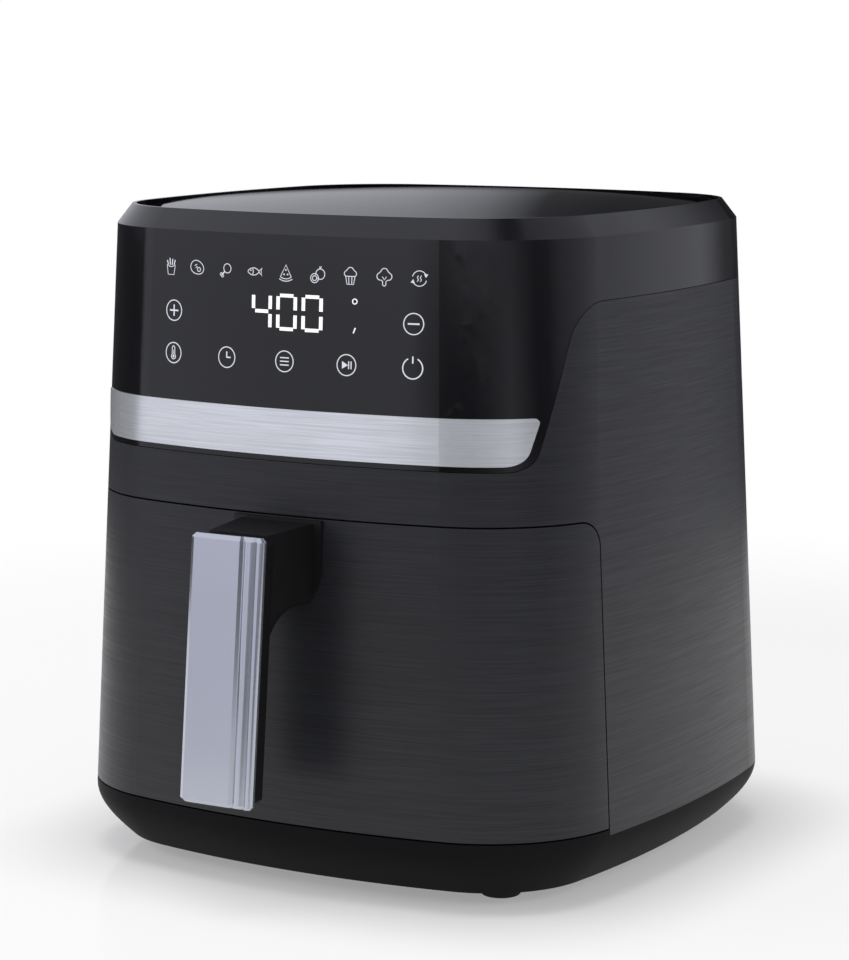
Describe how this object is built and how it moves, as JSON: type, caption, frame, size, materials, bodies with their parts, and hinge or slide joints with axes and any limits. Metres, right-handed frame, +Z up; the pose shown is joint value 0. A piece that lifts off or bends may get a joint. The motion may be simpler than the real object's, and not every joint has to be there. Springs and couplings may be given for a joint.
{
  "type": "air fryer",
  "caption": "Countertop air fryer with a tapered rounded body, touch panel above a metal strip, pull-out cooking drawer with an upright handle, lift-out plate and fan.",
  "frame": {"origin": "on the floor under the body's upright axis, midway between the feet", "axes": "+Z up, -Y towards the drawer's handle, +X to the user's right when facing the front"},
  "size_m": [0.28, 0.3332, 0.3088],
  "materials": {
    "black_plastic": "satin moulded",
    "brushed_dark": "dark brushed film on moulding",
    "gloss_black": "high gloss",
    "brushed_silver": "fine brushed",
    "silver_paint": "satin silver paint",
    "rubber": "matt",
    "steel_sheet": "plain sheet",
    "nonstick": "dark non-stick coat",
    "steel": "plain",
    "zinc": "zinc plated",
    "ceramic": "unglazed",
    "copper": "enamelled wire",
    "bronze": "sintered",
    "board_green": "solder mask",
    "component_black": "moulded cases",
    "pale_plastic": "natural",
    "silicone": "soft"
  },
  "bodies": {
    "housing": {"base_tray": "black_plastic", "rubber_feet": "rubber", "base_screws": "zinc", "body_shell": "brushed_dark", "upper_housing": "gloss_black", "top_cover": "gloss_black", "trim_strip": "brushed_silver", "vent_grille": "black_plastic", "cord_gland": "black_plastic", "front_frame": "black_plastic", "cavity_floor": "steel_sheet", "cavity_liner": "steel_sheet", "drawer_runners": "black_plastic", "heat_reflector": "steel_sheet", "fan_guard": "steel_sheet", "guard_screws": "zinc", "heating_element": "steel", "element_clips": "steel_sheet", "element_bushes": "ceramic", "temperature_probe": "steel", "thermal_cutout": "component_black", "deck_pillars": "zinc", "mid_deck": "pale_plastic", "grommets": "rubber", "bracket_screws": "zinc", "motor_bracket": "steel_sheet", "motor_stator": "steel", "motor_coils": "copper", "motor_bolts": "zinc", "bearing_bridge": "steel_sheet", "motor_bushes": "bronze", "exhaust_duct": "black_plastic", "control_board": "board_green", "board_screws": "zinc", "display_module": "component_black", "touch_pads": "silicone", "power_board": "board_green", "power_components": "component_black", "wire_loom": "component_black", "drawer_switch": "component_black"},
    "fan": {"fan_shaft": "steel", "motor_rotor": "steel", "hot_air_fan": "brushed_silver", "cooling_fan": "pale_plastic", "fan_nuts": "zinc"},
    "drawer": {"drawer_front": "brushed_dark", "drawer_inner": "black_plastic", "food_tub": "nonstick", "tub_screws": "zinc", "handle_body": "black_plastic", "handle_cover": "silver_paint", "handle_screws": "zinc"},
    "plate": {"crisper_plate": "nonstick", "plate_bumpers": "silicone"},
    "plunger": {"switch_plunger": "pale_plastic"}
  },
  "joints": [
    {"name": "drawer_slide", "type": "slide", "parent": "housing", "child": "drawer", "axis": [0, -1, 0], "range_m": [0, 0.245]},
    {"name": "plate_lift", "type": "slide", "parent": "drawer", "child": "plate", "axis": [0, 0, 1], "range_m": [0, 0.1]},
    {"name": "fan_spin", "type": "hinge", "parent": "housing", "child": "fan", "pos_m": [0, -0.00573, 0.252], "axis": [0, 0, 1], "continuous": true},
    {"name": "switch_press", "type": "slide", "parent": "housing", "child": "plunger", "axis": [0, 1, 0], "range_m": [0, 0.0012], "stiffness_N_per_m": 300, "springref_m": -0.001}
  ]
}
